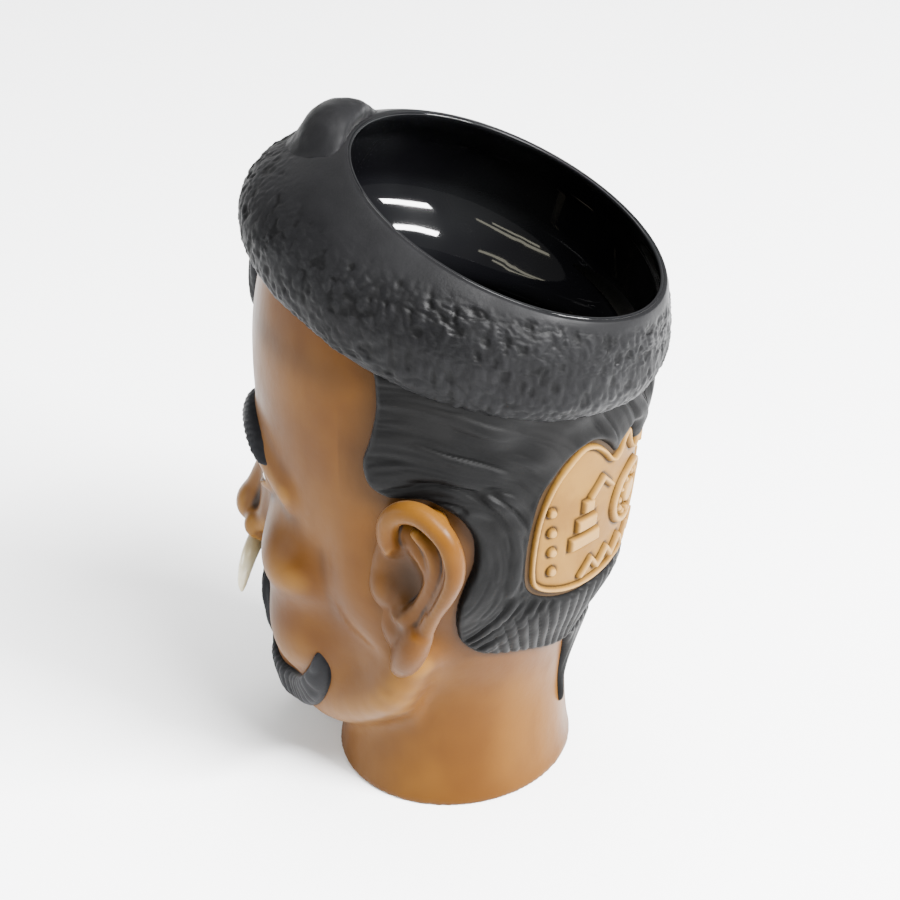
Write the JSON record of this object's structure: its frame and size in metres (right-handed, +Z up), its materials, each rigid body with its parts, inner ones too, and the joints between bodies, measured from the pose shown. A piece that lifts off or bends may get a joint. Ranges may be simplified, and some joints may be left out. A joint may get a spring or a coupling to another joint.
{
  "type": "head-shaped ceramic drinking mug",
  "caption": "Oval-footed ceramic mug shaped as a calm human head: rolled hair forms a sloping drinking rim, combed side hair, carved panel at the back, black glaze inside.",
  "frame": {"origin": "centre of the flat foot", "axes": "+Z up, the face looks along -Y, the head's left side is +X"},
  "size_m": [0.1068, 0.115, 0.1799],
  "materials": {
    "skin_ceramic": "satin brown paint with dark wash in the recesses",
    "black_glaze": "high gloss",
    "slate_ceramic": "matt, hammered texture",
    "dark_hair": "matt",
    "panel_tan": "satin",
    "eye_glaze": "gloss",
    "ivory_glaze": "gloss"
  },
  "bodies": {
    "root": {"head_body": "skin_ceramic", "glaze_liner": "black_glaze", "hair_roll": "slate_ceramic", "topknot": "slate_ceramic", "forelock": "dark_hair", "hair_left": "slate_ceramic", "hair_right": "slate_ceramic", "nape_tail": "slate_ceramic", "back_panel": "panel_tan", "panel_border": "panel_tan", "panel_motifs": "panel_tan", "ear_left": "skin_ceramic", "ear_right": "skin_ceramic", "brow_left": "dark_hair", "brow_right": "dark_hair", "eye_left": "eye_glaze", "eye_right": "eye_glaze", "moustache_left": "dark_hair", "moustache_right": "dark_hair", "goatee": "dark_hair", "nose_tusk": "ivory_glaze"}
  },
  "joints": []
}
